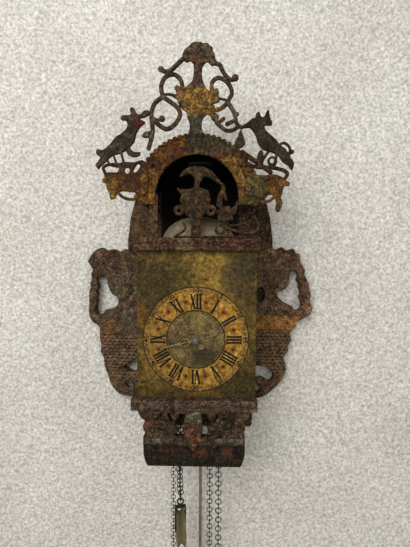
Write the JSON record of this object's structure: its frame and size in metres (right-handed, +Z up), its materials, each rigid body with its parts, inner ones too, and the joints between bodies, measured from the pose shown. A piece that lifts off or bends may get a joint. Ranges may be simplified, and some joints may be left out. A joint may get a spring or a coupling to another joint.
{
  "type": "frisian wall clock",
  "caption": "Bracket clock on a fretted back board with lead ornament, mermaid side boards, arched canopy with bell, painted dial, chains, pulley and long pendulum.",
  "frame": {"origin": "middle of the nail hole, in the plane of the wall", "axes": "+X to the right seen from the front, +Y into the wall, +Z up"},
  "size_m": [0.4158, 0.168, 0.9756],
  "materials": {
    "old_wood": "old dark stain, worn and dusty",
    "painted_lead": "dark brown paint on cast lead, worn",
    "worn_gilding": "worn gold paint, matt",
    "painted_dial": "old dial paint, satin",
    "bell_metal": "grey tarnish, satin",
    "aged_brass": "aged, satin",
    "dark_iron": "black oxide, oiled",
    "weight_lead": "dull grey"
  },
  "bodies": {
    "case": {"back_board": "old_wood", "hanger_plate": "dark_iron", "mermaid_left": "old_wood", "mermaid_right": "old_wood", "canopy_front": "worn_gilding", "canopy_roof": "old_wood", "canopy_post": "worn_gilding", "crest_fret": "painted_lead", "bird_left": "painted_lead", "bird_right": "painted_lead", "ear_left": "worn_gilding", "ear_right": "worn_gilding", "front_fret": "painted_lead", "fret_rail": "old_wood", "shelf_board": "old_wood", "console_body": "old_wood", "base_block": "old_wood", "apron_fret": "painted_lead", "wire_pins": "dark_iron", "top_plate": "dark_iron", "bottom_plate": "dark_iron", "corner_posts": "aged_brass", "front_bar": "aged_brass", "middle_bar": "aged_brass", "rear_bar": "aged_brass", "dial_plate": "painted_dial", "bell": "bell_metal", "bell_stand": "dark_iron", "suspension_cock": "dark_iron", "weight_chain": "dark_iron", "gathered_chain": "dark_iron", "alarm_chain": "dark_iron", "counter_ring": "weight_lead"},
    "great": {"great_wheel": "aged_brass"},
    "centre": {"centre_wheel": "aged_brass", "cannon_pinion": "aged_brass", "minute_hand": "aged_brass", "hand_nut": "weight_lead"},
    "motion": {"minute_wheel": "aged_brass"},
    "hour": {"hour_wheel": "aged_brass", "hour_hand": "aged_brass"},
    "alarm_set": {"alarm_disc": "aged_brass"},
    "third": {"third_wheel": "aged_brass"},
    "escape": {"escape_wheel": "aged_brass"},
    "anchor": {"pallets": "dark_iron"},
    "pendulum": {"pendulum_rod": "dark_iron", "pendulum_bob": "aged_brass", "rating_nut": "aged_brass"},
    "strike_great": {"strike_great_wheel": "aged_brass", "count_wheel": "aged_brass"},
    "lifting": {"pin_wheel": "aged_brass"},
    "warning": {"warning_wheel": "aged_brass"},
    "fan": {"fly": "aged_brass"},
    "strike_hammer": {"hammer": "dark_iron"},
    "alarm_crown": {"alarm_wheel": "aged_brass"},
    "alarm_strike": {"alarm_hammer": "dark_iron"},
    "left_door": {"side_door_left": "worn_gilding"},
    "right_door": {"side_door_right": "worn_gilding"},
    "pulley": {"pulley_strap": "dark_iron"},
    "sheave": {"pulley_sheave": "aged_brass"}
  },
  "joints": [
    {"name": "minute_turn", "type": "hinge", "parent": "case", "child": "centre", "pos_m": [-0.001, -0.13, -0.306], "axis": [0, 1, 0], "continuous": true},
    {"name": "great_turn", "type": "hinge", "parent": "case", "child": "great", "pos_m": [-0.001, -0.115, -0.351], "axis": [0, 1, 0], "continuous": true},
    {"name": "motion_turn", "type": "hinge", "parent": "case", "child": "motion", "pos_m": [-0.001, -0.14, -0.284], "axis": [0, 1, 0], "continuous": true},
    {"name": "hour_turn", "type": "hinge", "parent": "case", "child": "hour", "pos_m": [-0.001, -0.15, -0.306], "axis": [0, 1, 0], "continuous": true},
    {"name": "alarm_set_turn", "type": "hinge", "parent": "hour", "child": "alarm_set", "pos_m": [-0.001, -0.153, -0.306], "axis": [0, 1, 0], "continuous": true},
    {"name": "third_turn", "type": "hinge", "parent": "case", "child": "third", "pos_m": [0.001, -0.115, -0.262], "axis": [0, 1, 0], "continuous": true},
    {"name": "escape_turn", "type": "hinge", "parent": "case", "child": "escape", "pos_m": [0.003, -0.115, -0.226], "axis": [0, 1, 0], "continuous": true},
    {"name": "pendulum_swing", "type": "hinge", "parent": "case", "child": "pendulum", "pos_m": [0.003, -0.025, -0.196], "axis": [0, 1, 0], "range_deg": [-3, 3]},
    {"name": "anchor_rock", "type": "hinge", "parent": "case", "child": "anchor", "pos_m": [0.003, -0.1, -0.196], "axis": [0, 1, 0], "range_deg": [-3, 3]},
    {"name": "strike_turn", "type": "hinge", "parent": "case", "child": "lifting", "pos_m": [-0.0045, -0.07, -0.306], "axis": [0, 1, 0], "continuous": true},
    {"name": "strike_great_turn", "type": "hinge", "parent": "case", "child": "strike_great", "pos_m": [-0.0045, -0.07, -0.351], "axis": [0, 1, 0], "continuous": true},
    {"name": "warning_turn", "type": "hinge", "parent": "case", "child": "warning", "pos_m": [-0.0045, -0.07, -0.262], "axis": [0, 1, 0], "continuous": true},
    {"name": "fan_turn", "type": "hinge", "parent": "case", "child": "fan", "pos_m": [-0.0045, -0.07, -0.226], "axis": [0, 1, 0], "continuous": true},
    {"name": "hammer_blow", "type": "hinge", "parent": "case", "child": "strike_hammer", "pos_m": [0.058, -0.065, -0.306], "axis": [0, 1, 0], "range_deg": [-2.5, 3], "stiffness_Nm_per_rad": 1, "springref_deg": -0.23},
    {"name": "alarm_wheel_turn", "type": "hinge", "parent": "case", "child": "alarm_crown", "pos_m": [-0.045, -0.139, -0.214], "axis": [0, 1, 0], "continuous": true},
    {"name": "alarm_hammer_swing", "type": "hinge", "parent": "case", "child": "alarm_strike", "pos_m": [-0.045, -0.139, -0.17], "axis": [0, 0, 1], "range_deg": [-20, 20]},
    {"name": "left_door_swing", "type": "hinge", "parent": "case", "child": "left_door", "pos_m": [-0.08975, -0.042, -0.28], "axis": [0, 0, 1], "range_deg": [-90, 0]},
    {"name": "right_door_swing", "type": "hinge", "parent": "case", "child": "right_door", "pos_m": [0.08975, -0.042, -0.28], "axis": [0, 0, 1], "range_deg": [0, 90]},
    {"name": "pulley_swing", "type": "hinge", "parent": "case", "child": "pulley", "pos_m": [-0.029, -0.1, -0.595], "axis": [0, 1, 0], "range_deg": [-10, 10]},
    {"name": "sheave_turn", "type": "hinge", "parent": "pulley", "child": "sheave", "pos_m": [-0.029, -0.1, -0.646], "axis": [0.9781, 0.2079, 0], "continuous": true}
  ],
  "couplings": [
    {"joint": "great_turn", "follows": "minute_turn", "ratio": -0.16667},
    {"joint": "motion_turn", "follows": "minute_turn", "ratio": -0.33333},
    {"joint": "hour_turn", "follows": "minute_turn", "ratio": 0.083333},
    {"joint": "third_turn", "follows": "minute_turn", "ratio": -8},
    {"joint": "escape_turn", "follows": "minute_turn", "ratio": 80},
    {"joint": "anchor_rock", "follows": "pendulum_swing", "ratio": 1},
    {"joint": "strike_great_turn", "follows": "strike_turn", "ratio": -0.16667},
    {"joint": "warning_turn", "follows": "strike_turn", "ratio": -8},
    {"joint": "fan_turn", "follows": "strike_turn", "ratio": 80}
  ]
}
